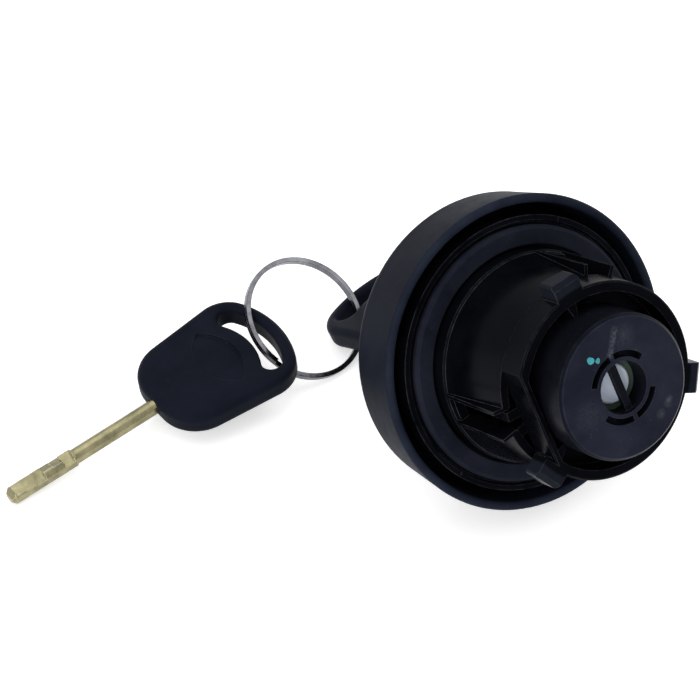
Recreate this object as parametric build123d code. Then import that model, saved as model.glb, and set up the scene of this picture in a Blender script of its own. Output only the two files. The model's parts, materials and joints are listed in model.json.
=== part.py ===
"""Locking fuel filler cap with its two rod keys on a split ring.

The cap is modelled about its own axis first: +Z runs into the filler neck and z = 0 is the
plane of the cover's rim.  The whole set is then laid down as it rests: the cap leans on the
shoulder of its cover and on the bow of the key that stands in its lock, and the second key
lies beside it.  All lengths are millimetres and all angles are degrees.
"""
from build123d import *
import os
from math import asin, atan2, cos, degrees, radians, sin, sqrt

# ---------------------------------------------------------------- driving dimensions
# Cover: the round grip of the cap, with a raised hub for the lock
rim_radius = 38.5
rim_edge = 1.1
cover_height = 20.3
cover_wall = 2.2
cover_draft = 1.7
shoulder_fillet = 5.0
face_rise = 1.2
hub_radius = 20.4
hub_taper = 1.3
hub_height = 17.3
hub_fillet = 2.0
hub_root_fillet = 2.5
flute_count = 16
flute_radius = 2.4
flute_depth = 0.7
flute_clearance = 2.5

# Boss and lock
boss_wall = 2.2
boss_reach = 10.5
housing_radius = 9.9
housing_wall = 2.0
housing_clearance = 0.05
housing_reach = 8.5
plug_clearance = 0.06
plug_wall = 2.1
plug_reach = 6.0
plug_front_wall = 3.0
plug_face_drop = 0.8
bezel_radius = 13.4
bezel_thickness = 1.2
bezel_seat = 0.7
tumbler_count = 8
tumbler_gap = 0.05
tumbler_clearance = 0.08
sidebar_width = 1.6
sidebar_depth = 1.5
cam_thickness = 1.8
cam_radius = 6.4
cam_lobe_reach = 9.2
cam_lobe_width = 5.0

# Closure body: the neck that carries seal, bayonet ring and valve
closure_turn = 8.5
running_clearance = 0.08
hub_tube_wall = 2.2
rim_groove = 2.8
plate_radius = rim_radius - cover_wall - rim_groove
plate_thickness = 3.1
plate_drop = 1.3
plate_lip_width = 1.3
plate_lip_height = 0.8
gasket_shelf = 2.35
gasket_outer_radius = plate_radius - gasket_shelf
gasket_width = 4.65
gasket_inner_radius = gasket_outer_radius - gasket_width
gasket_clearance = 0.7
sleeve_radius = gasket_inner_radius - gasket_clearance
sleeve_height = 4.2
sleeve_chamfer = 0.4
sleeve_step = 0.5
neck_base_radius = sleeve_radius - sleeve_step
neck_taper = 2.0
neck_top_radius = neck_base_radius - neck_taper
neck_top = 25.0
neck_wall = 2.0
partition_level = 13.0
partition_thickness = 2.0
window_angle = 57.0
window_width = 16.4
window_floor = 6.0
fence_thickness = 0.9
fence_proud = 0.1
fence_radius = sleeve_radius + fence_proud
lug_count = 3
washer_thickness = 1.0
wave_spring_height = 1.6
snap_ring_thickness = 1.0
snap_ring_radius = 15.2
pawl_angles = (175.0, 188.0)
pawl_depth = 3.2
pawl_inset = 0.9
pawl_outer_radius = neck_top_radius - pawl_inset
pawl_inner_radius = pawl_outer_radius - pawl_depth
pawl_width = 2.4
pawl_gap = 0.3

# Sealing gasket
gasket_top = 0.9
gasket_bevel = 0.8

# Bayonet ring with its three lugs
ring_overhang = 0.1
ring_radius = neck_top_radius + ring_overhang
ring_wall = 2.5
ring_inner_radius = ring_radius - ring_wall
ring_top = 33.0
ring_floor = 1.6
ring_edge = 0.35
ring_flat_depth = 4.1
ring_flat = ring_radius - ring_flat_depth
ring_flat_wall = 1.5
lug_angle = 89.5
lug_root = 1.2
lug_reach = 3.6
lug_radius = ring_radius + lug_reach
lug_width = 7.2
lug_height = 6.4
lug_ramp = 1.4
lug_fillet = 1.2
lug_corner = 0.8
gusset_width = 3.4
gusset_tip = 0.8
gusset_drop = 1.4

# Valve housing: the drum at the end of the spigot
drum_gap = 3.7
drum_radius = ring_inner_radius - drum_gap
drum_wall = 2.2
drum_end = 40.5
drum_face = 5.0
drum_edge = 0.7
drum_fit = 0.1
vent_radius = 6.3
vent_bar_width = 1.9
vent_bar_depth = 1.5
vent_bar_thickness = 1.4
arc_slot_inner = 7.2
arc_slot_outer = 8.8
arc_slot_depth = 2.5
arc_slot_start = 30.0
arc_slot_end = 86.0
seat_lip = 0.5
seat_width = 0.9

# Pressure and vacuum valves inside the drum
seal_radius = 8.8
seal_hole = 2.6
seal_thickness = 1.2
pressure_plate_radius = 10.4
pressure_plate_thickness = 1.8
plate_skirt_height = 3.0
plate_skirt_wall = 1.2
stem_radius = 1.3
stem_clearance = 0.2
vacuum_disc_radius = 4.8
vacuum_disc_thickness = 0.8
stem_length = 9.0
stem_clip_radius = 2.9
stem_clip_thickness = 0.7
pressure_spring_radius = 7.2
pressure_wire = 0.9
pressure_turns = 4.5
vacuum_spring_radius = 2.2
vacuum_wire = 0.4
vacuum_turns = 5.0

# Rod key: moulded bow on a metal rod, the same for both keys
bow_length = 38.6
bow_width = 34.0
bow_root_width = 27.0
bow_thickness = 6.4
bow_edge = 1.9
bow_corner = 9.0
bow_root_corner = 11.0
bow_end_radius = 26.0
bow_slot_inset = 3.5
bow_slot_width = 5.4
bow_slot_span = 24.4
bow_slot_edge = 1.4
thumb_inset = 4.2
thumb_depth = 0.9
thumb_span = 20.0
thumb_reach = 6.0
rod_length = 43.5
rod_radius = 2.0
rod_in_bow = 14.0
rod_bit_length = 19.0
rod_bit_radius = 2.35
rod_cut_count = 6
rod_cut_depth = 0.6
rod_cut_step = 0.2
rod_tip_slope = 50.0
rod_tip_height = 0.3
rod_cut_angles = (15, 15, 15, -25, -25, 15)
rod_tip_chamfer = 1.0
key_angle = 12.0
key_standoff = 1.0

# Split ring
ring_wire_radial = 1.25
ring_wire_axial = 0.8
ring_turns = 2
ring_coil_gap = 0.05
split_ring_radius = 15.90
ring_back = 7.095
ring_across = -19.660
ring_through = -8.224
ring_axis = (-0.84362, 0.27496, -0.46121)
ring_start = (-0.42368, -0.86854, 0.25717)

# Second key where it hangs on the ring, in the ring's own frame
key_2_end = (7.172, -5.196, 0.505)
key_2_along = (-0.84651, 0.47761, 0.23518)
key_2_up = (-0.08802, -0.56124, 0.82296)

# ---------------------------------------------------------------- derived places
hub_top = -(cover_height + face_rise + hub_height)
shoulder_level = -cover_height
shoulder_centre = (rim_radius - cover_draft - shoulder_fillet, shoulder_level + shoulder_fillet)
boss_bore = housing_radius + housing_clearance
boss_radius = boss_bore + boss_wall
housing_bore = housing_radius - housing_wall
plug_radius = housing_bore - plug_clearance
plug_bore = plug_radius - plug_wall
plug_face = hub_top + plug_face_drop
hub_bore = boss_radius + running_clearance
hub_tube_radius = hub_bore + hub_tube_wall
plate_top = -plate_drop
plate_bottom = plate_top - plate_thickness
key_seat = hub_top - bezel_thickness - key_standoff
rod_tip = key_seat + rod_length
ring_bottom = neck_top
seat_level = drum_end - drum_face - seat_lip
seal_bottom = seat_level - seal_thickness
valve_plate_bottom = seal_bottom - pressure_plate_thickness
valve_floor = partition_level + partition_thickness
lug_angles = [lug_angle + k * 360 / lug_count for k in range(lug_count)]
window_angles = [window_angle + k * 360 / lug_count for k in range(lug_count)]


# ---------------------------------------------------------------- small helpers
def turned(points):
    """Solid of revolution about Z from a closed outline of (radius, height) points."""
    outline = Plane.XZ * make_face(Polyline(*points, close=True))
    return revolve(outline, Axis.Z)


def tube(outer, inner, bottom, top):
    """Plain ring between two heights."""
    return turned([(inner, bottom), (outer, bottom), (outer, top), (inner, top)])


def rod(radius, bottom, top):
    """Solid cylinder between two heights."""
    return Pos(0, 0, bottom) * Cylinder(radius, top - bottom, align=(Align.CENTER, Align.CENTER, Align.MIN))


def sector(inner, outer, start, end, bottom, top):
    """Part of a ring between two angles and two heights."""
    arc = CenterArc((0, 0), outer, start, end - start)
    back = CenterArc((0, 0), inner, start, end - start)
    edges = [arc, back, Line(arc @ 0, back @ 0), Line(arc @ 1, back @ 1)]
    return extrude(Pos(0, 0, bottom) * make_face(edges), top - bottom)


def radial_box(inner, outer, width, bottom, top, angle):
    """Block that stands out along a radius."""
    block = Box(outer - inner, width, top - bottom, align=(Align.MIN, Align.CENTER, Align.MIN))
    return Rot(0, 0, angle) * Pos(inner, 0, bottom) * block


def coil(radius, wire, turns, bottom, top):
    """Round-wire compression spring between two levels."""
    height = top - bottom - wire
    path = Helix(pitch=height / turns, height=height, radius=radius)
    section = Plane(origin=path @ 0, z_dir=path % 0) * Circle(wire / 2)
    return Pos(0, 0, bottom + wire / 2) * sweep(section, path=path, is_frenet=True)


# ---------------------------------------------------------------- cover and lock
def make_cover():
    """Hollow grip: rim, shoulder, hub and the boss that carries the lock."""
    centre_r, centre_z = shoulder_centre
    face_z = shoulder_level
    hub_foot_z = shoulder_level - face_rise
    hub_foot = hub_radius + hub_root_fillet
    outer = [
        Line((bezel_radius, hub_top + bezel_seat), (bezel_radius, hub_top)),
        Line((bezel_radius, hub_top), (hub_radius - hub_taper - hub_fillet, hub_top)),
        RadiusArc((hub_radius - hub_taper - hub_fillet, hub_top),
                  (hub_radius - hub_taper, hub_top + hub_fillet), -hub_fillet),
        Line((hub_radius - hub_taper, hub_top + hub_fillet), (hub_radius, hub_foot_z - hub_root_fillet)),
        RadiusArc((hub_radius, hub_foot_z - hub_root_fillet), (hub_foot, hub_foot_z), hub_root_fillet),
        Line((hub_foot, hub_foot_z), (centre_r, face_z)),
        RadiusArc((centre_r, face_z), (centre_r + shoulder_fillet, centre_z), -shoulder_fillet),
        Line((centre_r + shoulder_fillet, centre_z), (rim_radius, -rim_edge)),
        RadiusArc((rim_radius, -rim_edge), (rim_radius - rim_edge, 0), -rim_edge),
        RadiusArc((rim_radius - rim_edge, 0), (rim_radius - cover_wall, -rim_edge), -rim_edge),
    ]
    inner_r = rim_radius - cover_wall
    wall_r = centre_r + shoulder_fillet - cover_wall
    inner_corner = shoulder_fillet - cover_wall
    inner_face = face_z + cover_wall
    hub_inner = hub_radius - cover_wall
    inner = [
        Line((inner_r, -rim_edge), (wall_r, centre_z)),
        RadiusArc((wall_r, centre_z), (wall_r - inner_corner, inner_face), inner_corner),
        Line((wall_r - inner_corner, inner_face), (hub_inner, inner_face)),
        Line((hub_inner, inner_face), (hub_inner - hub_taper, hub_top + cover_wall)),
        Line((hub_inner - hub_taper, hub_top + cover_wall), (boss_radius, hub_top + cover_wall)),
        Line((boss_radius, hub_top + cover_wall), (boss_radius, boss_reach)),
        Line((boss_radius, boss_reach), (boss_bore, boss_reach)),
        Line((boss_bore, boss_reach), (boss_bore, hub_top + bezel_seat)),
        Line((boss_bore, hub_top + bezel_seat), (bezel_radius, hub_top + bezel_seat)),
    ]
    cover = revolve(Plane.XZ * make_face(outer + inner), Axis.Z)
    # finger flutes round the hub
    for k in range(flute_count):
        angle = k * 360 / flute_count
        radius = hub_radius + flute_radius - flute_depth
        groove = rod(flute_radius, hub_top + flute_clearance, hub_foot_z - hub_root_fillet)
        cover -= Rot(0, 0, angle) * Pos(radius, 0, 0) * groove
    # groove for the ring that keeps the closure body on the boss
    groove_z = snap_ring_level()
    cover -= tube(boss_radius + 1, boss_radius - boss_wall / 2, groove_z, groove_z + snap_ring_thickness)
    return cover


def snap_ring_level():
    """Lower side of the ring that holds the closure body on the boss."""
    return boss_reach - 2 * snap_ring_thickness


def make_snap_ring():
    """Open spring ring in the boss groove."""
    level = snap_ring_level()
    ring = tube(snap_ring_radius, boss_radius - boss_wall / 2 + housing_clearance, level,
                level + snap_ring_thickness)
    return ring - radial_box(0, snap_ring_radius + 1, boss_wall * 2, level - 1, level + 2, -90)


def make_bezel():
    """Pressed ring round the keyhole, seated in the hub."""
    top = hub_top - bezel_thickness
    edge = bezel_thickness / 2
    return turned([(plug_radius - 1, hub_top), (plug_radius + plug_clearance, hub_top),
                   (plug_radius + plug_clearance, hub_top + bezel_seat), (bezel_radius - housing_clearance, hub_top + bezel_seat),
                   (bezel_radius - housing_clearance, top + edge), (bezel_radius - edge, top), (plug_radius - 1, top)])


def make_housing():
    """Die-cast sleeve that the lock plug turns in."""
    return tube(housing_radius, housing_bore, hub_top + bezel_seat, housing_reach)


def make_plug():
    """Lock plug: hollow for the tumbler discs, with a round key entry."""
    entry = rod_bit_radius + 2 * plug_clearance
    tail = plug_reach - plug_front_wall
    plug = turned([
        (entry, plug_face), (plug_radius, plug_face), (plug_radius, plug_reach),
        (entry, plug_reach), (entry, tail), (plug_bore, tail),
        (plug_bore, plug_face + plug_front_wall), (entry, plug_face + plug_front_wall)])
    slot_bottom = plug_face + plug_front_wall + 1
    slot = radial_box(plug_bore - 1, plug_radius + 1, sidebar_width, slot_bottom, tail - 1, 90)
    return plug - slot


def make_tumblers():
    """Discs that the cuts of the key turn, each with a notch for the side bar."""
    bottom = plug_face + plug_front_wall + tumbler_gap
    top = plug_reach - plug_front_wall - tumbler_gap
    pitch = (top - bottom) / tumbler_count
    discs = []
    for k in range(tumbler_count):
        level = bottom + k * pitch
        disc = tube(plug_bore - tumbler_clearance, rod_bit_radius + plug_clearance, level,
                    level + pitch - tumbler_gap)
        notch = radial_box(plug_bore - 1.2, plug_bore + 1, sidebar_width + 0.3, level - 1, level + pitch, 90)
        discs.append(disc - notch)
    return discs


def make_sidebar():
    """Bar that drops into the tumbler notches when the right key is turned."""
    bottom = plug_face + plug_front_wall + 1 + tumbler_gap
    top = plug_reach - plug_front_wall - 1 - tumbler_gap
    outer = plug_radius - 2 * plug_clearance
    bar = radial_box(outer - sidebar_depth, outer, sidebar_width - 0.1, bottom, top, 90)
    return bar


def make_cam():
    """Two-lobed driver on the tail of the plug."""
    cam = rod(cam_radius, plug_reach, housing_reach + cam_thickness)
    cam -= rod(rod_bit_radius + 2 * plug_clearance, plug_reach - 1, plug_reach + 2.0)
    for angle in (0, 180):
        cam += radial_box(0, cam_lobe_reach, cam_lobe_width, housing_reach + 0.2,
                          housing_reach + cam_thickness, angle)
    return cam


# ---------------------------------------------------------------- closure body
def make_flange():
    """Sealing plate with its raised lip, and the tube that turns on the boss."""
    lip_r = plate_radius - plate_lip_width
    return turned([
        (hub_bore, plate_bottom), (plate_radius, plate_bottom),
        (plate_radius, plate_top + plate_lip_height), (lip_r, plate_top + plate_lip_height),
        (lip_r - plate_lip_height / 2, plate_top), (hub_tube_radius, plate_top),
        (hub_tube_radius, snap_ring_level() - 0.1), (hub_bore, snap_ring_level() - 0.1)])


def make_neck():
    """Tapered neck on a sleeve, with a cross wall, three windows, fences and two ratchet fingers."""
    inner_top = neck_top_radius - neck_wall
    inner_base = neck_base_radius - neck_wall
    body = turned([
        (inner_base, plate_top), (sleeve_radius, plate_top),
        (sleeve_radius, sleeve_height - sleeve_chamfer), (sleeve_radius - sleeve_chamfer, sleeve_height),
        (neck_base_radius, sleeve_height), (neck_top_radius, neck_top), (inner_top, neck_top)])
    # cross wall under the valve, seated on the neck wall
    slope = (inner_base - inner_top) / (neck_top - plate_top)
    wall_r = inner_base - slope * (partition_level - plate_top)
    wall_r2 = wall_r - slope * partition_thickness
    body += turned([(0, partition_level), (wall_r + 0.5, partition_level),
                    (wall_r2 + 0.5, valve_floor), (0, valve_floor)])
    half = window_width / 2
    for angle in window_angles:
        cut = sector(inner_top - 3, sleeve_radius + 3, angle - half, angle + half, window_floor, neck_top + 1)
        cut -= rod(inner_top - 1.5, partition_level - 0.001, valve_floor + 0.001)
        body -= cut
        for side in (-half, half):
            body += radial_box(inner_top + 0.5, fence_radius, fence_thickness, sleeve_height,
                               neck_top, angle + side)
    for angle in pawl_angles:
        body += radial_box(pawl_inner_radius, pawl_outer_radius, pawl_width, partition_level,
                           neck_top - pawl_gap, angle)
    return body


def make_gasket():
    """Flat rubber seal with a bevelled outer edge."""
    return turned([
        (gasket_inner_radius, plate_top), (gasket_outer_radius - 0.3, plate_top),
        (gasket_outer_radius, plate_top + 0.3), (gasket_outer_radius, gasket_top - gasket_bevel),
        (gasket_outer_radius - gasket_bevel, gasket_top), (gasket_inner_radius + 0.3, gasket_top),
        (gasket_inner_radius, gasket_top - 0.3)])


def make_bayonet_ring():
    """Ring with a flat, three ramped lugs and gussets towards the drum."""
    outer_disc = rod(ring_radius, ring_bottom, ring_top)
    outer_disc -= Pos(-ring_flat, 0, 0) * Box(2 * ring_radius, 4 * ring_radius, 4 * ring_top,
                                              align=(Align.MAX, Align.CENTER, Align.CENTER))
    hollow = rod(ring_inner_radius, ring_bottom + ring_floor, ring_top + 1)
    hollow -= Pos(-ring_flat + ring_flat_wall, 0, 0) * Box(2 * ring_radius, 4 * ring_radius, 4 * ring_top,
                                                           align=(Align.MAX, Align.CENTER, Align.CENTER))
    ring = outer_disc - hollow
    ring = chamfer(ring.faces().sort_by(Axis.Z)[-1].outer_wire().edges(), ring_edge)
    bore = drum_radius + drum_fit
    for angle in lug_angles:
        low = ring_top - lug_height
        side = [(ring_radius - lug_root, low), (lug_radius, low), (lug_radius, ring_top - lug_fillet),
                (lug_radius - lug_fillet, ring_top), (ring_radius - lug_root, ring_top)]
        blade = Plane.XZ * make_face(Polyline(*side, close=True))
        lug = extrude(blade, lug_width / 2, both=True)
        lug = fillet(lug.edges().group_by(Axis.X)[-1].filter_by(Axis.Z), lug_corner)
        wedge = Plane.YZ * make_face(Polyline((-lug_width / 2, low - 1), (lug_width / 2, low - 1),
                                              (lug_width / 2, low), (-lug_width / 2, low + lug_ramp), close=True))
        lug -= extrude(wedge, 2 * lug_radius, both=True)
        ring += Rot(0, 0, angle) * lug
        plan = [(bore - 0.5, -gusset_tip / 2), (ring_inner_radius + 0.8, -gusset_width / 2),
                (ring_inner_radius + 0.8, gusset_width / 2), (bore - 0.5, gusset_tip / 2)]
        gusset = extrude(Pos(0, 0, ring_bottom) * make_face(Polyline(*plan, close=True)),
                         ring_top - gusset_drop - ring_bottom)
        ring += Rot(0, 0, angle) * gusset
    return ring - rod(bore, ring_bottom - 1, ring_top + 1)


# ---------------------------------------------------------------- valve group
def make_valve_housing():
    """Drum closed by its end face, with the barred vent and four arc recesses."""
    inner = drum_radius - drum_wall
    under = drum_end - drum_face
    drum = turned([
        (inner, valve_floor), (drum_radius, valve_floor), (drum_radius, drum_end - drum_edge),
        (drum_radius - drum_edge, drum_end), (vent_radius, drum_end), (vent_radius, seat_level),
        (vent_radius + seat_width, seat_level), (vent_radius + seat_width + seat_lip, under), (inner, under)])
    for k in range(2):
        for start, end in ((arc_slot_start, arc_slot_end), (180 - arc_slot_end, 180 - arc_slot_start)):
            drum -= sector(arc_slot_inner, arc_slot_outer, start + 180 * k, end + 180 * k,
                           drum_end - arc_slot_depth, drum_end + 1)
    bar_top = drum_end - vent_bar_depth
    bar = Pos(0, 0, bar_top - vent_bar_thickness) * Box(vent_bar_width, 2 * vent_radius + 1, vent_bar_thickness,
                                                        align=(Align.CENTER, Align.CENTER, Align.MIN))
    return drum + bar


def make_valve_seal():
    """Ring of fuel-proof rubber that closes on the seat lip."""
    return tube(seal_radius, seal_hole, seal_bottom, seat_level)


def make_pressure_plate():
    """Spring-loaded plate behind the seal, with a skirt that centres the spring."""
    bore = stem_radius + stem_clearance
    skirt_outer = pressure_spring_radius - pressure_wire
    plate = tube(pressure_plate_radius, bore, valve_plate_bottom, seal_bottom)
    return plate + tube(skirt_outer, skirt_outer - plate_skirt_wall,
                        valve_plate_bottom - plate_skirt_height, valve_plate_bottom)


def make_vacuum_valve():
    """Crowned disc on a stem that closes the middle of the seal."""
    crown = vacuum_disc_thickness / 2
    stem_end = seat_level - stem_length
    return turned([
        (0, stem_end), (stem_radius, stem_end), (stem_radius, seat_level),
        (vacuum_disc_radius, seat_level), (vacuum_disc_radius, seat_level + crown),
        (vacuum_disc_radius - crown, seat_level + vacuum_disc_thickness), (0, seat_level + vacuum_disc_thickness)])


def make_vacuum_spring():
    """Light spring between the plate and the stem's clip."""
    clip_top = seat_level - stem_length + 2 * stem_clip_thickness
    return coil(vacuum_spring_radius, vacuum_wire, vacuum_turns, clip_top, valve_plate_bottom)


def make_stem_clip():
    """Push-on clip that carries the vacuum spring."""
    bottom = seat_level - stem_length + stem_clip_thickness
    return tube(stem_clip_radius, stem_radius, bottom, bottom + stem_clip_thickness)


# ---------------------------------------------------------------- rod key
def bow_outline(inset=0.0):
    """Rounded shield of the bow: x along the rod from its shoulder, y across."""
    end_x = bow_length - inset
    half_end = bow_width / 2 - inset
    half_root = bow_root_width / 2 - inset
    sag = bow_end_radius - sqrt(bow_end_radius ** 2 - half_end ** 2)
    arc = RadiusArc((end_x - sag, -half_end), (end_x - sag, half_end), -bow_end_radius)
    face = make_face([
        Line((inset, -half_root), (end_x - sag, -half_end)), arc,
        Line((end_x - sag, half_end), (inset, half_root)), Line((inset, half_root), (inset, -half_root))])
    face = fillet(face.vertices().sort_by(Axis.X)[-2:], bow_corner - inset)
    return fillet(face.vertices().sort_by(Axis.X)[:2], bow_root_corner - inset)


def make_bow():
    """Moulded bow with its arched slot, rounded edges and a thumb recess on each side."""
    plate = extrude(bow_outline(), bow_thickness / 2, both=True)
    rims = [e for e in plate.edges() if abs(abs(e.center().Z) - bow_thickness / 2) < 0.01]
    plate = fillet(rims, bow_edge)
    # arched slot: a band that follows the end of the bow
    centre_x = bow_length - bow_end_radius
    mid = bow_end_radius - bow_slot_inset - bow_slot_width / 2
    half_angle = degrees(asin((bow_slot_span - bow_slot_width) / 2 / mid))
    path = CenterArc((centre_x, 0), mid, -half_angle, 2 * half_angle)
    slot = extrude(make_face(path.offset_2d(bow_slot_width / 2)), bow_thickness, both=True)
    plate -= slot
    reach = bow_slot_span / 2 + 0.1
    near_x, far_x = centre_x + mid * cos(radians(half_angle)) - bow_slot_width, bow_length - bow_slot_inset + 0.1
    slot_rims = [e for e in plate.edges()
                 if abs(abs(e.center().Z) - bow_thickness / 2) < 0.01
                 and abs(e.center().Y) < reach and near_x < e.center().X < far_x]
    plate = fillet(slot_rims, bow_slot_edge)
    # thumb recess: a half-moon that is deepest at its arc and runs out towards the rod
    arc_r = mid - bow_slot_width / 2 - thumb_inset
    half = thumb_span / 2
    reach = sqrt(arc_r ** 2 - half ** 2)
    deep_x = centre_x + arc_r
    end_x = centre_x + reach
    shallow_x = end_x - thumb_reach
    moon = make_face([
        ThreePointArc((end_x, -half), (deep_x, 0), (end_x, half)),
        ThreePointArc((end_x, half), (shallow_x, 0), (end_x, -half))])
    slope = degrees(atan2(thumb_depth, deep_x - shallow_x))
    pocket = Pos(shallow_x, 0, 0) * Rot(0, slope, 0) * Pos(-shallow_x, 0, 0) * extrude(moon, 2)
    upper = Pos(0, 0, bow_thickness / 2) * pocket
    plate -= upper
    plate -= Rot(180, 0, 0) * upper
    # bore that holds the rod
    plate -= Rot(0, 90, 0) * Cylinder(rod_radius, rod_in_bow, align=(Align.CENTER, Align.CENTER, Align.MIN))
    return plate


def make_rod():
    """Metal rod of the key: plain shank, then a thicker bit with angled cuts."""
    bit_start = -(rod_length - rod_bit_length)
    shank = Pos(bit_start, 0, 0) * Rot(0, 90, 0) * Cylinder(
        rod_radius, rod_in_bow - bit_start, align=(Align.CENTER, Align.CENTER, Align.MIN))
    bit = Pos(-rod_length, 0, 0) * Rot(0, 90, 0) * Cylinder(
        rod_bit_radius, rod_bit_length, align=(Align.CENTER, Align.CENTER, Align.MIN))
    bit = chamfer(bit.faces().sort_by(Axis.X)[0].edges(), rod_tip_chamfer)
    pitch = (rod_bit_length - 2 * rod_tip_chamfer) / rod_cut_count
    for k in range(rod_cut_count):
        x = -rod_length + 1.5 * rod_tip_chamfer + k * pitch
        depth = rod_cut_depth + (k % 3) * rod_cut_step
        block = Pos(x, 0, rod_bit_radius - depth) * Box(
            pitch, 4 * rod_bit_radius, 2 * rod_bit_radius, align=(Align.MIN, Align.CENTER, Align.MIN))
        bit -= Rot(rod_cut_angles[k % len(rod_cut_angles)], 0, 0) * block
    # chisel end: the upper half of the tip slopes back
    slope = Pos(-rod_length, 0, rod_tip_height) * Rot(0, -rod_tip_slope, 0) * Box(
        6 * rod_bit_radius, 6 * rod_bit_radius, 6 * rod_bit_radius, align=(Align.CENTER, Align.CENTER, Align.MIN))
    bit -= slope
    return shank + bit


# ---------------------------------------------------------------- split ring
def make_split_ring():
    """Flat wire wound in two touching turns about Z."""
    pitch = ring_wire_axial + ring_coil_gap
    path = Helix(pitch=pitch, height=pitch * (ring_turns - 0.02), radius=split_ring_radius)
    start = path @ 0
    section = Plane(origin=start, x_dir=(1, 0, 0), z_dir=path % 0) * Rectangle(ring_wire_radial, ring_wire_axial)
    wire = sweep(section, path=path, is_frenet=True)
    return Pos(0, 0, -pitch * ring_turns / 2) * wire


# ---------------------------------------------------------------- resting pose
def shoulder_depth(lean):
    """How far the cover's shoulder reaches below the rim centre when the cap leans."""
    r, z = shoulder_centre
    return r * sin(lean) - z * cos(lean) + shoulder_fillet


def key_in_lock():
    """Place of the inserted key in the cap's frame: its bow stands out of the hub."""
    return Pos(0, 0, key_seat) * Rot(0, 0, key_angle) * Rot(0, 90, 0) * Rot(90, 0, 0)


def bow_depth(lean, bow):
    """How far the inserted key's bow reaches below the rim centre when the cap leans."""
    leaning = Rot(degrees(lean), 0, 0) * key_in_lock() * bow
    return -leaning.bounding_box().min.Z


def resting_lean(bow):
    """Lean at which shoulder and bow touch the same floor, by bisection."""
    low, high = radians(55), radians(70)
    for _ in range(16):
        mid = (low + high) / 2
        if bow_depth(mid, bow) > shoulder_depth(mid):
            low = mid
        else:
            high = mid
    return (low + high) / 2


def ring_on_bow():
    """Place of the split ring in the frame of the bow it hangs on, measured from the bow's far end."""
    return Plane(origin=(bow_length - ring_back, ring_across, ring_through), x_dir=ring_start,
                 z_dir=ring_axis).location


def key_on_ring():
    """Place of the second key in the ring's frame: the ring runs through the slot of its bow."""
    far_end = Plane(origin=key_2_end, x_dir=key_2_along, z_dir=key_2_up).location
    return far_end * Pos(-bow_length, 0, 0)


def main():
    """Write one STEP file for each piece."""
    os.makedirs("parts", exist_ok=True)
    bow = make_bow()
    key_rod = make_rod()
    lean = resting_lean(bow)
    rim_height = shoulder_depth(lean)
    cap_place = Pos(0, 0, rim_height) * Rot(degrees(lean), 0, 0)
    closure_place = cap_place * Rot(0, 0, closure_turn)
    key_1_place = cap_place * key_in_lock()
    ring_at = key_1_place * ring_on_bow()
    key_2_place = ring_at * key_on_ring()
    parts = {
        "outer_cover": cap_place * make_cover(),
        "lock_bezel": cap_place * make_bezel(),
        "lock_housing": cap_place * make_housing(),
        "lock_plug": cap_place * make_plug(),
        "lock_sidebar": cap_place * make_sidebar(),
        "drive_cam": cap_place * make_cam(),
        "snap_ring": cap_place * make_snap_ring(),
        "closure_flange": closure_place * make_flange(),
        "closure_neck": closure_place * make_neck(),
        "sealing_gasket": closure_place * make_gasket(),
        "bayonet_ring": closure_place * make_bayonet_ring(),
        "valve_housing": closure_place * make_valve_housing(),
        "valve_seal": cap_place * make_valve_seal(),
        "pressure_plate": cap_place * make_pressure_plate(),
        "pressure_spring": cap_place * coil(pressure_spring_radius, pressure_wire, pressure_turns,
                                            valve_floor, valve_plate_bottom),
        "vacuum_valve": cap_place * make_vacuum_valve(),
        "vacuum_spring": cap_place * make_vacuum_spring(),
        "stem_clip": cap_place * make_stem_clip(),
        "key_1_bow": key_1_place * bow,
        "key_1_rod": key_1_place * key_rod,
        "split_ring": ring_at * make_split_ring(),
        "key_2_bow": key_2_place * bow,
        "key_2_rod": key_2_place * key_rod,
    }
    for number, disc in enumerate(make_tumblers(), start=1):
        parts[f"tumbler_disc_{number}"] = cap_place * disc
    # the middle of the set's footprint is the origin
    boxes = [shape.bounding_box() for shape in parts.values()]
    middle_x = (min(b.min.X for b in boxes) + max(b.max.X for b in boxes)) / 2
    middle_y = (min(b.min.Y for b in boxes) + max(b.max.Y for b in boxes)) / 2
    for name, shape in parts.items():
        export_step(Pos(-middle_x, -middle_y, 0) * shape, f"parts/{name}.step")
    print("lean", degrees(lean), "rim height", rim_height, "shift", middle_x, middle_y)


main()
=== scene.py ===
"""Locking fuel filler cap with two rod keys: finishes, springs, small details, light and camera."""
import json
from math import radians

import bpy
import numpy as np
from mathutils import Matrix, Vector


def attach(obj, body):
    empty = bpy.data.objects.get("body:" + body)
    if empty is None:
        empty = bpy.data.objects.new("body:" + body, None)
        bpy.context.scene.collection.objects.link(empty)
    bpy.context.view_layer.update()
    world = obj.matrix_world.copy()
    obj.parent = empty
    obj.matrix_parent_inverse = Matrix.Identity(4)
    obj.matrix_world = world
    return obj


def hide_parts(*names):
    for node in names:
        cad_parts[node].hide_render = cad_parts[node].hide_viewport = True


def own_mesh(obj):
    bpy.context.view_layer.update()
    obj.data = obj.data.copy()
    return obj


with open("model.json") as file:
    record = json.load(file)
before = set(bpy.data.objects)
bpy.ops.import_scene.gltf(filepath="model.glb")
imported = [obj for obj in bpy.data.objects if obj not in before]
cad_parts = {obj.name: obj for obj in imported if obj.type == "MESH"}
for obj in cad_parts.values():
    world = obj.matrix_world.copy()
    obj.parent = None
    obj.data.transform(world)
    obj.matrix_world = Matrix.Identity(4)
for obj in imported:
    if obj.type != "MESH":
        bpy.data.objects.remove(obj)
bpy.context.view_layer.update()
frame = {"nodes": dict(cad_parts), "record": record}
NODES = frame["nodes"]

MM = 0.001

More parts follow.
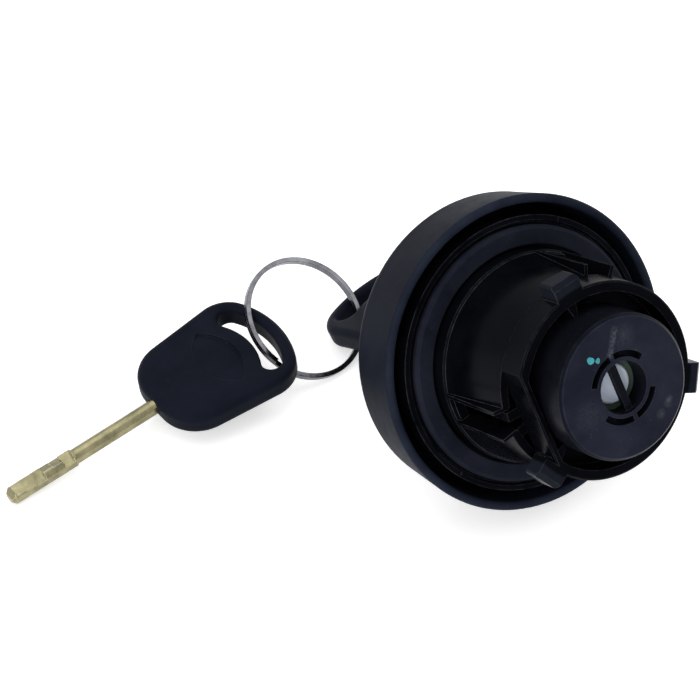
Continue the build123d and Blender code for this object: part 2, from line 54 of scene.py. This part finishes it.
# ---------------------------------------------------------------- the cap's own frame
# The cap leans in the YZ plane.  Its axis runs from the grip to the drum's end, with 0 at the cover's rim.
LEAN = radians(62.063408)
SHIFT = np.array([36.300371, -18.560508, 40.262198])
CAP_X = np.array([1.0, 0.0, 0.0])
CAP_Y = np.array([0.0, np.cos(LEAN), np.sin(LEAN)])
CAP_Z = np.array([0.0, -np.sin(LEAN), np.cos(LEAN)])

# Levels on the cap's axis, in mm
RIM_FACE = 0.0
LIP_FACE = -0.5
DRUM_END = 40.5


def on_cap(points):
    """Points of the cap's own frame (mm) in the set's frame (m): rows times the axes, plus the shift."""
    points = np.asarray(points, dtype=float)
    return (points @ np.stack([CAP_X, CAP_Y, CAP_Z]) + SHIFT) * MM


def along_axis(level):
    """Dot product with the cap's axis, in metres, of every point at a level in mm."""
    return float(on_cap([0.0, 0.0, level]) @ CAP_Z)


# ---------------------------------------------------------------- mesh from arrays
def surface(name, points, faces, finish, body):
    """One closed, smooth piece from an (n, 3) array in metres and a list of faces."""
    mesh = bpy.data.meshes.new(name)
    mesh.from_pydata(points.tolist(), [], faces)
    mesh.validate()
    mesh.update()
    piece = bpy.data.objects.new(name, mesh)
    bpy.context.scene.collection.objects.link(piece)
    mesh.materials.append(finish)
    mesh.polygons.foreach_set("use_smooth", np.ones(len(mesh.polygons), dtype=bool))
    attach(piece, body)
    return piece


def capped_grid(rows, columns):
    """Faces of a grid whose columns close on themselves, with one face over each end."""
    r, c = np.meshgrid(np.arange(rows - 1), np.arange(columns), indexing="ij")
    here = (r * columns + c).ravel()
    right = (r * columns + (c + 1) % columns).ravel()
    faces = np.stack([here, right, right + columns, here + columns], axis=1).tolist()
    faces.append(list(range(columns))[::-1])
    faces.append([(rows - 1) * columns + k for k in range(columns)])
    return faces


# ---------------------------------------------------------------- parts of a finish
def linear(code):
    """Linear colour of an sRGB hex code: each channel through the sRGB curve."""
    channels = np.array([int(code[k:k + 2], 16) / 255 for k in (1, 3, 5)])
    low = channels / 12.92
    high = ((channels + 0.055) / 1.055) ** 2.4
    return (*np.where(channels <= 0.04045, low, high), 1.0)


def add(tree, kind, settings=None, links=None):
    """One node of a kind, with its attributes or socket values set and its inputs linked."""
    node = tree.nodes.new(kind)
    for key, value in (settings or {}).items():
        if isinstance(key, str) and hasattr(node, key):
            setattr(node, key, value)
        else:
            node.inputs[key].default_value = value
    for key, output in (links or {}).items():
        tree.links.new(output, node.inputs[key])
    return node


def new_material(name):
    """Empty node material with its shader and output."""
    finish = bpy.data.materials.new(name)
    finish.use_nodes = True
    tree = finish.node_tree
    tree.nodes.clear()
    shader = add(tree, "ShaderNodeBsdfPrincipled")
    add(tree, "ShaderNodeOutputMaterial", links={"Surface": shader.outputs[0]})
    return finish, tree, shader


def cloudy_tone(tree, place, patch_mm, dark, light, span, detail=5.0, breakup=0.6):
    """Drift from a dark to a light colour over patches of a size, as noise climbs through a span."""
    scale = 1 / (patch_mm * MM)
    cloud = add(tree, "ShaderNodeTexNoise", {"Scale": scale, "Detail": detail, "Roughness": breakup},
                {"Vector": place})
    share = add(tree, "ShaderNodeMapRange", {"From Min": span[0], "From Max": span[1]},
                {"Value": cloud.outputs[0]})
    return add(tree, "ShaderNodeMix", {"data_type": "RGBA", 6: linear(dark), 7: linear(light)},
               {"Factor": share.outputs[0]}).outputs[2]


def pale_over(tree, colour, amount):
    """Pale grey laid over a colour by an amount from 0 to 1: dry marks, and the highlights painted along
    edges.
    """
    return add(tree, "ShaderNodeMix", {"data_type": "RGBA", 7: linear(DRY_MARK_AND_EDGE_HIGHLIGHT)},
               {"Factor": amount, 6: colour}).outputs[2]


def rounded_edge(tree, edge_mm):
    """Normal that rounds each edge, and its dot product with the face's own, which is 1 away from edges."""
    edge = add(tree, "ShaderNodeBevel", {"samples": 4, "Radius": edge_mm * MM})
    facing = add(tree, "ShaderNodeNewGeometry").outputs["Normal"]
    turned = add(tree, "ShaderNodeVectorMath", {"operation": "DOT_PRODUCT"},
                 {0: edge.outputs[0], 1: facing})
    return edge.outputs[0], turned.outputs["Value"]


def paler_end_face(tree, place, colour, face):
    """Other tone on the face beyond a level on the cap's axis: face is (level, dark, light)."""
    level, dark, light = face
    along = add(tree, "ShaderNodeVectorMath", {"operation": "DOT_PRODUCT", 1: tuple(CAP_Z)}, {0: place})
    beyond = add(tree, "ShaderNodeMath", {"operation": "GREATER_THAN", 1: along_axis(level)},
                 {0: along.outputs["Value"]})
    tone = cloudy_tone(tree, place, PLASTIC_PATCH, dark, light, PLASTIC_SPAN)
    return add(tree, "ShaderNodeMix", {"data_type": "RGBA"},
               {"Factor": beyond.outputs[0], 6: colour, 7: tone}).outputs[2]


def paler_lugs(tree, place, colour, outer):
    """Other tone on what stands out past a radius from the cap's axis: outer is (radius, dark, light).

    The distance from the axis is the length of the cross product of the place and the axis."""
    radius, dark, light = outer
    centre = tuple(on_cap([0.0, 0.0, 0.0]))
    from_centre = add(tree, "ShaderNodeVectorMath", {"operation": "SUBTRACT", 1: centre}, {0: place})
    swept = add(tree, "ShaderNodeVectorMath", {"operation": "CROSS_PRODUCT", 1: tuple(CAP_Z)},
                {0: from_centre.outputs[0]})
    distance = add(tree, "ShaderNodeVectorMath", {"operation": "LENGTH"}, {0: swept.outputs[0]})
    beyond = add(tree, "ShaderNodeMapRange", {"From Min": radius * MM, "From Max": (radius + 0.6) * MM},
                 {"Value": distance.outputs["Value"]})
    tone = cloudy_tone(tree, place, PLASTIC_PATCH, dark, light, PLASTIC_SPAN)
    return add(tree, "ShaderNodeMix", {"data_type": "RGBA"},
               {"Factor": beyond.outputs[0], 6: colour, 7: tone}).outputs[2]


def dust_in_grain(tree, place, colour, share):
    """Pale specks settled in the grain, drawn 1.1 mm apart because real dust is too fine to show."""
    fleck = add(tree, "ShaderNodeTexNoise", {"Scale": 1 / (1.1 * MM), "Detail": 6.0, "Roughness": 0.7},
                {"Vector": place})
    amount = add(tree, "ShaderNodeMapRange", {"From Min": 0.62, "From Max": 0.78, "To Max": share},
                 {"Value": fleck.outputs[0]})
    return pale_over(tree, colour, amount.outputs[0])


def dry_rubs(tree, place, colour, rubs):
    """Pale rubs that fade outwards: each is (point on the cap, radius, strength).

    They catch on the grain alone, which is drawn at 0.7 mm so that the break-up shows."""
    grain = add(tree, "ShaderNodeTexNoise", {"Scale": 1 / (0.7 * MM), "Detail": 7.0, "Roughness": 0.8},
                {"Vector": place})
    broken = add(tree, "ShaderNodeMapRange", {"From Min": 0.36, "From Max": 0.62},
                 {"Value": grain.outputs[0]})
    for centre, radius, strength in rubs:
        away = add(tree, "ShaderNodeVectorMath", {"operation": "DISTANCE", 1: tuple(on_cap(centre))},
                   {0: place})
        near = add(tree, "ShaderNodeMapRange", {"From Max": radius * MM, "To Min": strength, "To Max": 0.0},
                   {"Value": away.outputs["Value"]})
        amount = add(tree, "ShaderNodeMath", {"operation": "MULTIPLY"},
                     {0: near.outputs[0], 1: broken.outputs[0]})
        colour = pale_over(tree, colour, amount.outputs[0])
    return colour


# ---------------------------------------------------------------- the two families of finish
# Size in mm of the patches over which tone drifts, and the span of noise that takes it from dark to light
PLASTIC_PATCH = 14.0
PLASTIC_SPAN = (0.35, 0.7)
METAL_PATCH = 5.0
METAL_SPAN = (0.25, 0.75)
# The cool blue of a moulding's sheen, and the pale grey of the dry marks that wear leaves on it and of the
# highlights painted along edges
COOL_SHEEN = "#a8baea"
DRY_MARK_AND_EDGE_HIGHLIGHT = "#8f9298"


def moulded_plastic(name, dark, light, rough, grain_mm, grain, shine, waviness=0.05, edge_mm=0.25,
                    edge_highlight=0.0, dust=0.0, rubs=(), end_face=None, outer=None):
    """Moulded polymer: cloudy tone, fine grain, shallow sink waves 9 mm apart, and painted highlights along
    its edges.

    rough is the span of roughness, from patches 3.5 mm across that hands have polished to untouched ones;
    grain is the depth of the tool's texture; shine is how strongly it reflects; edge_highlight is how pale
    the painted highlight along its edges is."""
    finish, tree, shader = new_material(name)
    place = add(tree, "ShaderNodeTexCoord").outputs["Object"]
    colour = cloudy_tone(tree, place, PLASTIC_PATCH, dark, light, PLASTIC_SPAN)
    if end_face:
        colour = paler_end_face(tree, place, colour, end_face)
    if outer:
        colour = paler_lugs(tree, place, colour, outer)
    if dust:
        colour = dust_in_grain(tree, place, colour, dust)
    if rubs:
        colour = dry_rubs(tree, place, colour, rubs)

    edge, agreement = rounded_edge(tree, edge_mm)
    handling = add(tree, "ShaderNodeTexNoise", {"Scale": 1 / (3.5 * MM), "Detail": 8.0, "Roughness": 0.75},
                   {"Vector": place}).outputs[0]
    edge_highlight_share = add(tree, "ShaderNodeMapRange", {"From Min": 0.35, "From Max": 0.65, "To Max": edge_highlight},
                  {"Value": handling})
    # Painted highlight: a pale band along each edge, where the rounded normal turns away from the face's own,
    # broken up by the handled patches.
    edge_band = add(tree, "ShaderNodeMapRange", {"From Min": 0.99, "From Max": 0.75}, {"Value": agreement})
    edge_highlight_amount = add(tree, "ShaderNodeMath", {"operation": "MULTIPLY"},
               {0: edge_band.outputs[0], 1: edge_highlight_share.outputs[0]})
    tree.links.new(pale_over(tree, colour, edge_highlight_amount.outputs[0]), shader.inputs["Base Color"])

    polish = add(tree, "ShaderNodeMapRange",
                 {"From Min": 0.4, "From Max": 0.9, "To Min": rough[0], "To Max": rough[1]},
                 {"Value": handling})
    tree.links.new(polish.outputs[0], shader.inputs["Roughness"])
    shader.inputs["IOR"].default_value = 1.5
    shader.inputs["Specular IOR Level"].default_value = shine
    shader.inputs["Specular Tint"].default_value = linear(COOL_SHEEN)

    speck = add(tree, "ShaderNodeTexNoise", {"Scale": 1 / (grain_mm * MM), "Detail": 2.0},
                {"Vector": place})
    wave = add(tree, "ShaderNodeTexNoise", {"Scale": 1 / (9 * MM), "Detail": 1.0}, {"Vector": place})
    broad = add(tree, "ShaderNodeBump", {"Strength": waviness, "Distance": 1 * MM},
                {"Height": wave.outputs[0], "Normal": edge})
    fine = add(tree, "ShaderNodeBump", {"Strength": grain, "Distance": 0.08 * MM},
               {"Height": speck.outputs[0], "Normal": broad.outputs[0]})
    tree.links.new(fine.outputs[0], shader.inputs["Normal"])
    return finish


def bare_metal(name, dark, light, rough, edge_mm=0.15, edge_light_or_shade=None):
    """Bare or plated metal: uneven tone, soft tool marks, and edges painted bright as highlights or dark as
    shade.

    The marks of drawing and milling are finer than the render shows, so they are drawn 1.2 mm apart."""
    finish, tree, shader = new_material(name)
    shader.inputs["Metallic"].default_value = 1.0
    place = add(tree, "ShaderNodeTexCoord").outputs["Object"]
    edge, agreement = rounded_edge(tree, edge_mm)
    # Painted highlight or shade along each edge: the edge colour is laid where the rounded normal turns away
    # from the face's own.
    rim = add(tree, "ShaderNodeMapRange", {"From Min": 0.98, "From Max": 0.8}, {"Value": agreement})
    tone = cloudy_tone(tree, place, METAL_PATCH, dark, light, METAL_SPAN, detail=6.0, breakup=0.65)
    colour = add(tree, "ShaderNodeMix", {"data_type": "RGBA", 7: linear(edge_light_or_shade or light)},
                 {"Factor": rim.outputs[0], 6: tone})
    tree.links.new(colour.outputs[2], shader.inputs["Base Color"])
    marks = add(tree, "ShaderNodeTexNoise", {"Scale": 1 / (1.2 * MM), "Detail": 5.0},
                {"Vector": place}).outputs[0]
    polish = add(tree, "ShaderNodeMapRange",
                 {"From Min": 0.3, "From Max": 0.7, "To Min": rough[0], "To Max": rough[1]},
                 {"Value": marks})
    tree.links.new(polish.outputs[0], shader.inputs["Roughness"])
    dent = add(tree, "ShaderNodeBump", {"Strength": 0.12, "Distance": 0.1 * MM},
               {"Height": marks, "Normal": edge})
    tree.links.new(dent.outputs[0], shader.inputs["Normal"])
    return finish


def inspection_paint():
    """Quick-drying marking paint: turquoise, a little uneven where the dot is thin, with a soft gloss."""
    finish, tree, shader = new_material("turquoise_inspection_paint")
    place = add(tree, "ShaderNodeTexCoord").outputs["Object"]
    tone = cloudy_tone(tree, place, 0.9, "#1c8089", "#2f9ba5", (0.3, 0.7), detail=4.0, breakup=0.5)
    tree.links.new(tone, shader.inputs["Base Color"])
    shader.inputs["Roughness"].default_value = 0.35
    return finish


# ---------------------------------------------------------------- finishes of this cap
# Pale scuffs on the drum's end: a streak above the vent with a haze beside it, three flecks low on the right
# and one faint patch on the left.  Each is a point, a radius and a strength.
DRUM_SCUFFS = (
    ((1.2, 13.9, DRUM_END), 1.3, 0.2),
    ((0.6, 12.7, DRUM_END), 1.2, 0.26),
    ((0.0, 11.5, DRUM_END), 1.1, 0.3),
    ((-0.7, 10.2, DRUM_END), 1.1, 0.36),
    ((-1.3, 8.9, DRUM_END), 1.2, 0.4),
    ((3.4, 11.6, DRUM_END), 3.4, 0.1),
    ((10.9, -7.6, DRUM_END), 1.1, 0.24),
    ((10.2, -8.4, DRUM_END), 1.3, 0.16),
    ((7.8, -10.1, DRUM_END), 1.5, 0.16),
    ((-10.3, -2.5, DRUM_END), 4.6, 0.08),
)

# Spark-eroded grain is about 0.1 mm, too fine to show in the render, so grain_mm draws it at 0.3 mm or more.
# The shine is held low, because everything round the set is white and would bleach a black part.
finishes = {
    # Glass-filled nylon, spark-eroded: blue-black with a broad dull sheen, greyer on the rim's flat
    "cover_plastic": moulded_plastic(
        "black_nylon_cover", "#10131c", "#191d28", rough=(0.44, 0.6), grain_mm=0.4, grain=0.14, shine=0.02,
        edge_mm=0.5, edge_highlight=0.25, dust=0.04, end_face=(RIM_FACE - 0.9, "#1b1f2a", "#272c39")),
    # Acetal from a polished tool: deep black, with thin bright highlights painted along its edges
    "closure_plastic": moulded_plastic(
        "black_acetal_spigot", "#050609", "#0c0d11", rough=(0.14, 0.26), grain_mm=0.3, grain=0.01,
        shine=0.028, waviness=0.06, edge_mm=0.35, edge_highlight=0.34),
    # Nylon drum: its side is black, its flat end painted paler and greyer as the lit face, with dust in the
    # grain and pale scuffs
    "valve_plastic": moulded_plastic(
        "grey_black_nylon_drum", "#0b0c11", "#14161d", rough=(0.32, 0.48), grain_mm=0.45, grain=0.16,
        shine=0.055, edge_mm=0.3, edge_highlight=0.24, dust=0.14, rubs=DRUM_SCUFFS,
        end_face=(DRUM_END - 0.2, "#181a25", "#252733")),
    # Nitrile rubber, moulded: matt slate black that hardly reflects
    "gasket_rubber": moulded_plastic(
        "nitrile_rubber_gasket", "#14161f", "#23252f", rough=(0.5, 0.7), grain_mm=0.5, grain=0.18, shine=0.05,
        edge_highlight=0.1, dust=0.06),
    # Fluorosilicone seal: dull grey-green
    "seal_rubber": moulded_plastic(
        "fluorosilicone_seal", "#3c4a40", "#526055", rough=(0.45, 0.6), grain_mm=0.5, grain=0.1, shine=0.25),
    # Uncoloured acetal: cool milk white, smooth
    "valve_white": moulded_plastic(
        "natural_acetal", "#d9e6fb", "#ecf3ff", rough=(0.35, 0.5), grain_mm=0.5, grain=0.06, shine=0.25),
    # Zinc die casting of the lock: plain mid grey, a little frosted
    "zinc": bare_metal("die_cast_zinc", "#7d8085", "#96999d", rough=(0.35, 0.5)),
    # Zinc-plated steel of the small lock pieces: cooler and darker, smoother than the casting
    "zinc_plated": bare_metal("zinc_plated_steel", "#6d7076", "#8b8e93", rough=(0.25, 0.4)),
    # Drawn and milled nickel brass of the keys' rods: olive grey, with straw-coloured highlights painted
    # along its edges
    "brass": bare_metal("nickel_brass_rod", "#5a5843", "#a39c7a", rough=(0.16, 0.32), edge_mm=0.3,
                        edge_light_or_shade="#cfc9a4"),
    # Nylon bow: as the cover, but finer and evenly matt
    "bow_plastic": moulded_plastic(
        "black_nylon_bow", "#12151d", "#1a1d27", rough=(0.42, 0.56), grain_mm=0.35, grain=0.2, shine=0.03,
        edge_mm=0.5, edge_highlight=0.12, dust=0.05),
    # Nickel-plated spring steel: bright wire, with shade painted as dark lines along its edges and between
    # its turns
    "ring_steel": bare_metal("nickel_plated_ring", "#3f4045", "#85878c", rough=(0.12, 0.3), edge_mm=0.28,
                             edge_light_or_shade="#1c1d21"),
    # Bright spring wire of the valves
    "spring_steel": bare_metal("spring_steel", "#85888c", "#a2a5a8", rough=(0.2, 0.35)),
}
# Pieces whose finish isn't the one of their slot
LUG_RADIUS = 23.6
own_finishes = {
    # Acetal as the spigot, but a little duller, and paler on the lugs
    "bayonet_ring": moulded_plastic(
        "black_acetal_ring", "#050609", "#0b0c10", rough=(0.2, 0.34), grain_mm=0.3, grain=0.01, shine=0.022,
        waviness=0.06, edge_mm=0.4, edge_highlight=0.3, outer=(LUG_RADIUS, "#14161d", "#20232c")),
}

for entry in frame["record"]["subparts"]:
    name = entry["node"]
    finish = own_finishes.get(name, finishes[entry["material_slot"]])
    NODES[name].data.materials.clear()
    NODES[name].data.materials.append(finish)


# ---------------------------------------------------------------- springs of the valves
def coil_spring(node, radius, wire, turns, bottom, top, body):
    """Round-wire spring in place of a node.

    Its centre line is (R cos 2 pi n u, R sin 2 pi n u, z0 + h u) for u from 0 to 1, in mm about the cap's
    axis."""
    rows_per_turn, columns = 40, 12
    rows = round(turns * rows_per_turn)
    u = np.linspace(0.0, 1.0, rows)[:, None]
    turn = 2 * np.pi * turns * u
    rise = top - bottom - wire
    zero = np.zeros_like(u)
    outward = np.stack([np.cos(turn), np.sin(turn), zero], axis=-1)
    along = np.stack([-2 * np.pi * turns * radius * np.sin(turn), 2 * np.pi * turns * radius * np.cos(turn),
                      rise + zero], axis=-1)
    along /= np.linalg.norm(along, axis=-1, keepdims=True)
    across = np.cross(along, outward)
    centre = radius * outward + np.stack([zero, zero, bottom + wire / 2 + rise * u], axis=-1)
    a = np.linspace(0, 2 * np.pi, columns, endpoint=False)[None, :, None]
    tube = centre + wire / 2 * (np.cos(a) * outward + np.sin(a) * across)
    piece = surface(node + "_coil", on_cap(tube.reshape(-1, 3)), capped_grid(rows, columns),
                    finishes["spring_steel"], body)
    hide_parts(node)
    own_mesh(piece)


# The levels the springs bear on: the wall under the valves, the pressure plate's back and the stem's clip
VALVE_FLOOR = 15.0
PLATE_BACK = 32.0
CLIP_FACE = 27.4
coil_spring("pressure_spring", radius=7.2, wire=0.9, turns=4.5, bottom=VALVE_FLOOR, top=PLATE_BACK,
            body="closure")
coil_spring("vacuum_spring", radius=2.2, wire=0.4, turns=5.0, bottom=CLIP_FACE, top=PLATE_BACK,
            body="pressure_valve")


# ---------------------------------------------------------------- paint dots and moulded nibs
def low_dome(name, radius, angle, level, spread, height, wander, seed, finish, body):
    """Low dome on a face of the cap: height (1 - s^4) over the share s of an ellipse with a wandering rim.

    spread is the ellipse's half size along the radius and across it; the base sinks 0.03 mm into the face."""
    rings, spokes = 8, 44
    s = np.linspace(1.0, 0.08, rings)[:, None]
    t = np.linspace(0, 2 * np.pi, spokes, endpoint=False)[None, :]
    rim = 1 + wander * (0.6 * np.sin(2 * t + seed) + 0.4 * np.sin(3 * t + 2.1 * seed))
    along = spread[0] * s * rim * np.cos(t)
    across = spread[1] * s * rim * np.sin(t)
    cos, sin = np.cos(radians(angle)), np.sin(radians(angle))
    x = (radius + along) * cos - across * sin
    y = (radius + along) * sin + across * cos
    z = level - 0.03 + height * (1 - s ** 4) + 0 * t
    return surface(name, on_cap(np.stack([x, y, z], axis=-1).reshape(-1, 3)), capped_grid(rings, spokes),
                   finish, body)


# Inspection paint on the drum's end, 0.14 mm thick: name, radius, angle, half sizes, seed of the rim
paint = inspection_paint()
for name, radius, angle, spread, seed in (("paint_dot_large", 11.7, 124.6, (1.0, 0.95), 1.0),
                                          ("paint_dot_small", 10.1, 118.8, (0.62, 0.72), 2.4)):
    dot = low_dome(name, radius, angle, DRUM_END, spread, 0.14, 0.16, seed, paint, "closure")

# Ejector and gate nibs left on the plate's lip and on the cover's rim, 0.35 mm high: the angle seeds the rim
for name, radius, angle, level, spread, body, slot in (
        ("lip_nib_upper", 32.5, 58.0, LIP_FACE, (0.75, 0.32), "closure", "closure_plastic"),
        ("lip_nib_lower", 32.5, 219.4, LIP_FACE, (0.7, 0.35), "closure", "closure_plastic"),
        ("rim_nib", 37.6, 24.6, RIM_FACE, (0.45, 0.5), "cover", "cover_plastic")):
    low_dome(name, radius, angle, level, spread, 0.35, 0.1, angle, finishes[slot], body)


# ---------------------------------------------------------------- stage, light and camera
def seen_ray(tree):
    """1 for a ray from the camera, a mirror or glass, and 0 for the light that falls on the object."""
    rays = add(tree, "ShaderNodeLightPath").outputs
    sharp = add(tree, "ShaderNodeMath", {"operation": "MAXIMUM"},
                {0: rays["Is Glossy Ray"], 1: rays["Is Transmission Ray"]})
    return add(tree, "ShaderNodeMath", {"operation": "MAXIMUM"},
               {0: rays["Is Camera Ray"], 1: sharp.outputs[0]}).outputs[0]


def paper_sheet():
    """White paper: seen white by the camera, metal and glass, while it still takes the object's shadow."""
    lift_to_white = 0.5
    finish, tree, shader = new_material("white_paper")
    shader.inputs["Base Color"].default_value = linear("#ffffff")
    shader.inputs["Roughness"].default_value = 0.9
    shader.inputs["Emission Color"].default_value = linear("#ffffff")
    glow = add(tree, "ShaderNodeMath", {"operation": "MULTIPLY", 1: lift_to_white}, {0: seen_ray(tree)})
    tree.links.new(glow.outputs[0], shader.inputs["Emission Strength"])
    return finish


def add_floor():
    """Large sheet under the set: the corners of one square."""
    half = 3.0
    corners = np.array([[-half, -half, 0], [half, -half, 0], [half, half, 0], [-half, half, 0]])
    mesh = bpy.data.meshes.new("floor")
    mesh.from_pydata(corners.tolist(), [], [[0, 1, 2, 3]])
    floor = bpy.data.objects.new("floor", mesh)
    bpy.context.scene.collection.objects.link(floor)
    mesh.materials.append(paper_sheet())


def add_lamp(name, place, size, watts):
    """Square soft box aimed at the middle of the set."""
    middle = Vector((0.0, 0.0, 0.03))
    data = bpy.data.lights.new(name, "AREA")
    data.shape = "SQUARE"
    data.size = size
    data.energy = watts
    lamp = bpy.data.objects.new(name, data)
    lamp.location = place
    lamp.rotation_euler = (middle - Vector(place)).to_track_quat("-Z", "Y").to_euler()
    bpy.context.scene.collection.objects.link(lamp)


add_floor()
add_lamp("soft_box_top", (-0.15, 0.25, 0.9), size=1.1, watts=3.7)
add_lamp("soft_box_left", (-0.8, -0.35, 0.55), size=0.9, watts=3.0)
add_lamp("soft_box_right", (0.8, -0.2, 0.6), size=0.9, watts=2.1)
add_lamp("soft_box_front", (-0.55, -0.75, 0.22), size=0.28, watts=1.7)

# Even light from all round for the object, and plain white where a seen ray meets the world
world = bpy.data.worlds.new("studio")
bpy.context.scene.world = world
world.use_nodes = True
world_tree = world.node_tree
world_tree.nodes.clear()
plain = add(world_tree, "ShaderNodeBackground", {"Color": (1, 1, 1, 1), "Strength": 0.48})
white = add(world_tree, "ShaderNodeBackground", {"Color": (1, 1, 1, 1), "Strength": 1.0})
chosen = add(world_tree, "ShaderNodeMixShader",
             links={0: seen_ray(world_tree), 1: plain.outputs[0], 2: white.outputs[0]})
add(world_tree, "ShaderNodeOutputWorld", links={"Surface": chosen.outputs[0]})

# Long lens 0.74 m from the middle of the set, looking 45 degrees down
CAMERA_PLACE = Vector((-0.278200, -0.415061, 0.545862))
CAMERA_RIGHT = Vector((0.833, -0.554, 0.0))
CAMERA_FORWARD = Vector((0.3917, 0.5887, -0.7071))
camera_data = bpy.data.cameras.new("camera")
camera_data.sensor_width = 36.0
camera_data.lens = 154.3
camera = bpy.data.objects.new("camera", camera_data)
right = CAMERA_RIGHT.normalized()
back = -CAMERA_FORWARD.normalized()
up = back.cross(right).normalized()
camera.matrix_world = Matrix.Translation(CAMERA_PLACE) @ Matrix((right, up, back)).transposed().to_4x4()
bpy.context.scene.collection.objects.link(camera)
bpy.context.scene.camera = camera
bpy.context.scene.view_settings.view_transform = "Standard"
